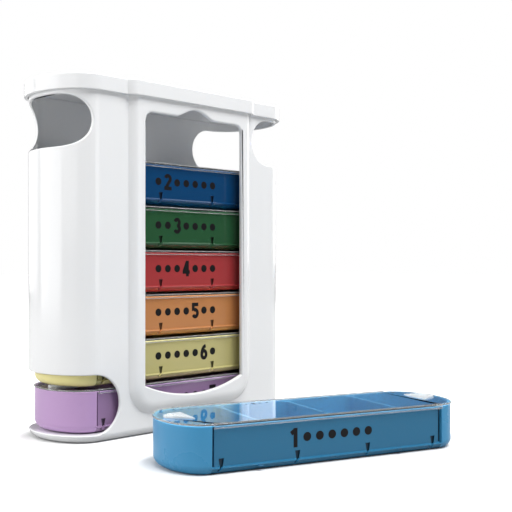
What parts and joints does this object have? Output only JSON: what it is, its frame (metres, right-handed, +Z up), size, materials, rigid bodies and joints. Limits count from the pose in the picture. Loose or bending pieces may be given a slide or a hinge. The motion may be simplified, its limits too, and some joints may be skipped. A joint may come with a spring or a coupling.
{
  "type": "weekly pill box",
  "caption": "Tower housing with a window and a top cap, a stack of coloured day trays with clear sliding lids, and a loose tray in front.",
  "frame": {"origin": "centre of the housing's underside, on the surface that it stands on", "axes": "+X along the housing and its trays, towards the end where trays go in; -Y is the window side; +Z is up"},
  "size_m": [0.1402, 0.1602, 0.1585],
  "materials": {
    "white_housing": "smooth glossy white moulding",
    "white_cap": "smooth glossy white moulding",
    "tray_1_plastic": "glossy tinted light blue moulding",
    "lid_1_plastic": "clear polished moulding",
    "tray_2_plastic": "glossy tinted dark blue moulding",
    "lid_2_plastic": "clear polished moulding",
    "tray_3_plastic": "glossy tinted green moulding",
    "lid_3_plastic": "clear polished moulding",
    "tray_4_plastic": "glossy tinted red moulding",
    "lid_4_plastic": "clear polished moulding",
    "tray_5_plastic": "glossy tinted orange moulding",
    "lid_5_plastic": "clear polished moulding",
    "tray_6_plastic": "glossy tinted pale yellow moulding",
    "lid_6_plastic": "clear polished moulding",
    "tray_7_plastic": "glossy tinted violet moulding",
    "lid_7_plastic": "clear polished moulding"
  },
  "bodies": {
    "tower": {"housing": "white_housing", "top_cap": "white_cap"},
    "loose_tray": {"tray_1": "tray_1_plastic"},
    "loose_lid": {"lid_1": "lid_1_plastic"},
    "lowest_tray": {"tray_7": "tray_7_plastic"},
    "lowest_lid": {"lid_7": "lid_7_plastic"},
    "stacked_tray_6": {"tray_6": "tray_6_plastic", "lid_6": "lid_6_plastic"},
    "stacked_tray_5": {"tray_5": "tray_5_plastic", "lid_5": "lid_5_plastic"},
    "stacked_tray_4": {"tray_4": "tray_4_plastic", "lid_4": "lid_4_plastic"},
    "stacked_tray_3": {"tray_3": "tray_3_plastic", "lid_3": "lid_3_plastic"},
    "stacked_tray_2": {"tray_2": "tray_2_plastic", "lid_2": "lid_2_plastic"}
  },
  "joints": [
    {"name": "lowest_tray_slide", "type": "slide", "parent": "tower", "child": "lowest_tray", "axis": [1, 0, 0], "range_m": [-0.14, 0]},
    {"name": "lowest_lid_slide", "type": "slide", "parent": "lowest_tray", "child": "lowest_lid", "axis": [1, 0, 0], "range_m": [-0.14, 0]},
    {"name": "loose_tray_lift", "type": "slide", "parent": "tower", "child": "loose_tray", "axis": [0, 0, 1], "range_m": [0, 0.16]},
    {"name": "loose_lid_slide", "type": "slide", "parent": "loose_tray", "child": "loose_lid", "axis": [0.9494, -0.314, 0], "range_m": [-0.064, 0.14]},
    {"name": "stacked_tray_6_lift", "type": "slide", "parent": "tower", "child": "stacked_tray_6", "axis": [0, 0, 1], "range_m": [0, 0.006]},
    {"name": "stacked_tray_5_lift", "type": "slide", "parent": "stacked_tray_6", "child": "stacked_tray_5", "axis": [0, 0, 1], "range_m": [0, 0.006]},
    {"name": "stacked_tray_4_lift", "type": "slide", "parent": "stacked_tray_5", "child": "stacked_tray_4", "axis": [0, 0, 1], "range_m": [0, 0.006]},
    {"name": "stacked_tray_3_lift", "type": "slide", "parent": "stacked_tray_4", "child": "stacked_tray_3", "axis": [0, 0, 1], "range_m": [0, 0.006]},
    {"name": "stacked_tray_2_lift", "type": "slide", "parent": "stacked_tray_3", "child": "stacked_tray_2", "axis": [0, 0, 1], "range_m": [0, 0.006]}
  ]
}
